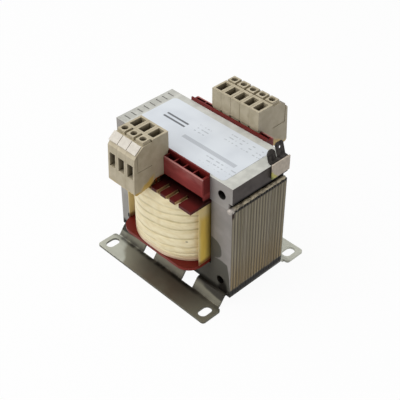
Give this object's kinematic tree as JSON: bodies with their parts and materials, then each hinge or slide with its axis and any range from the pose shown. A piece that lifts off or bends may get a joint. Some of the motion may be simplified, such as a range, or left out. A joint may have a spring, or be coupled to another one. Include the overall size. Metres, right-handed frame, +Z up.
{
  "type": "chassis transformer",
  "caption": "Open chassis transformer: welded laminated core on a folded foot plate, taped coil on a moulded bobbin, and front and rear rows of spring-clamp terminals.",
  "frame": {"origin": "middle of the plane that the two foot rails stand on, under the centre of the core", "axes": "+Z up; +X along the core's width, towards the earth tab; -Y towards the side with the shorter row of terminals"},
  "size_m": [0.098, 0.1016, 0.1037],
  "materials": {
    "core_steel": "varnished satin",
    "yoke_steel": "varnished satin",
    "weld": "rough",
    "foot_steel": "zinc plated, satin",
    "bobbin_plastic": "satin",
    "primary_copper": "enamelled",
    "layer_paper": "matt",
    "secondary_copper": "enamelled",
    "wrap_tape": "matt",
    "side_film": "satin",
    "terminal_plastic": "satin",
    "spring_steel": "bright",
    "contact_brass": "tinned",
    "lead_wire": "enamelled",
    "tag_plastic": "satin",
    "earth_metal": "tarnished",
    "marker_plastic": "satin",
    "label_film": "satin"
  },
  "bodies": {
    "root": {"e_laminations": "core_steel", "i_laminations": "yoke_steel", "weld_bead_left": "weld", "weld_bead_right": "weld", "foot_plate": "foot_steel", "bobbin": "bobbin_plastic", "primary_winding": "primary_copper", "interlayer_insulation": "layer_paper", "secondary_winding": "secondary_copper", "outer_wrap": "wrap_tape", "side_film_left": "side_film", "side_film_right": "side_film", "front_terminal_1": "terminal_plastic", "front_terminal_2": "terminal_plastic", "front_terminal_3": "terminal_plastic", "front_clamp_springs": "spring_steel", "front_contacts": "contact_brass", "front_leads": "lead_wire", "front_marker_tags": "tag_plastic", "rear_terminal_1": "terminal_plastic", "rear_terminal_2": "terminal_plastic", "rear_terminal_3": "terminal_plastic", "rear_terminal_4": "terminal_plastic", "rear_terminal_5": "terminal_plastic", "rear_clamp_springs": "spring_steel", "rear_contacts": "contact_brass", "rear_leads": "lead_wire", "rear_marker_tags": "tag_plastic", "earth_bracket": "earth_metal", "earth_marker": "marker_plastic", "rating_label": "label_film"}
  },
  "joints": []
}
